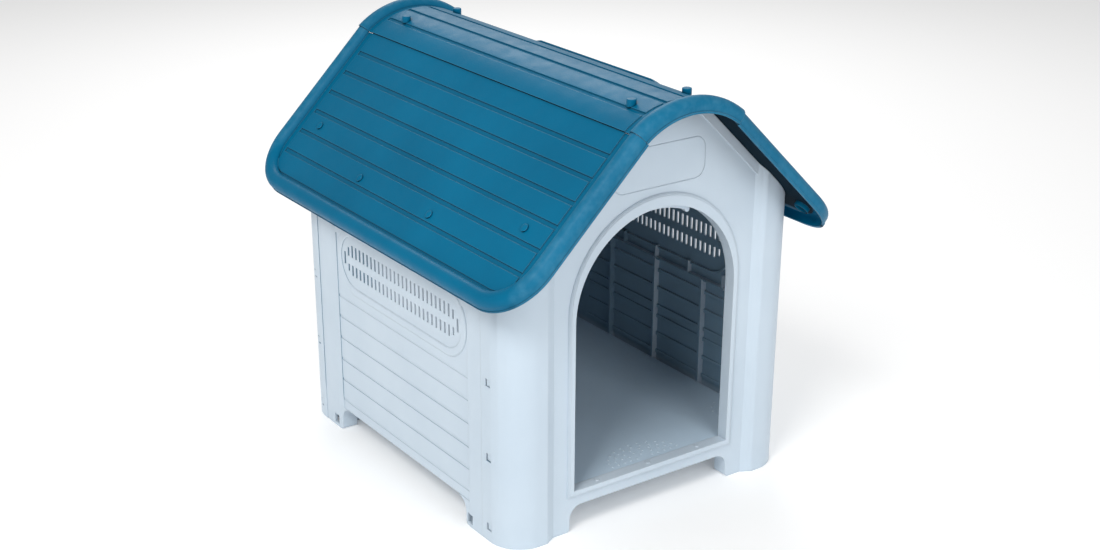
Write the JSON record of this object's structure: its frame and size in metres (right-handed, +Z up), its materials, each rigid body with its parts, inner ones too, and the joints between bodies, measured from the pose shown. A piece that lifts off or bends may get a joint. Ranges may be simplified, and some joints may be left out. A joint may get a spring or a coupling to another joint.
{
  "type": "plastic dog kennel",
  "caption": "Knock-down moulded plastic kennel with arched doorway, vented side walls, lift-out floor and a plank-pattern gable roof that lifts off in sections.",
  "frame": {"origin": "on the ground at the middle of the footprint", "axes": "+Z up, doorway facing -Y, ridge along Y, X across the width"},
  "size_m": [0.705, 0.874, 0.7502],
  "materials": {
    "body_plastic": "fine-grained semi-matt moulded polypropylene, pale blue-grey white",
    "roof_plastic": "fine-grained satin moulded polypropylene, teal blue"
  },
  "bodies": {
    "walls": {"front_panel": "body_plastic", "back_panel": "body_plastic", "left_side_panel": "body_plastic", "right_side_panel": "body_plastic"},
    "floor": {"floor_pan": "body_plastic"},
    "left_roof": {"left_roof_panel": "roof_plastic", "roof_pin_left_front": "roof_plastic", "roof_pin_left_mid_front": "roof_plastic", "roof_pin_left_mid_back": "roof_plastic", "roof_pin_left_back": "roof_plastic"},
    "right_roof": {"right_roof_panel": "roof_plastic", "roof_pin_right_front": "roof_plastic", "roof_pin_right_mid_front": "roof_plastic", "roof_pin_right_mid_back": "roof_plastic", "roof_pin_right_back": "roof_plastic"},
    "cap": {"ridge_cap": "roof_plastic", "ridge_peg_front_left": "roof_plastic", "ridge_peg_front_right": "roof_plastic", "ridge_peg_back_left": "roof_plastic", "ridge_peg_back_right": "roof_plastic"}
  },
  "joints": [
    {"name": "floor_lift", "type": "slide", "parent": "walls", "child": "floor", "axis": [0, 0, 1], "range_m": [0, 0.2]},
    {"name": "cap_lift", "type": "slide", "parent": "walls", "child": "cap", "axis": [0, 0, 1], "range_m": [0, 0.15]},
    {"name": "left_roof_lift", "type": "slide", "parent": "walls", "child": "left_roof", "axis": [-0.6997, 0, 0.7145], "range_m": [0, 0.12]},
    {"name": "right_roof_lift", "type": "slide", "parent": "walls", "child": "right_roof", "axis": [0.6997, 0, 0.7145], "range_m": [0, 0.12]}
  ]
}
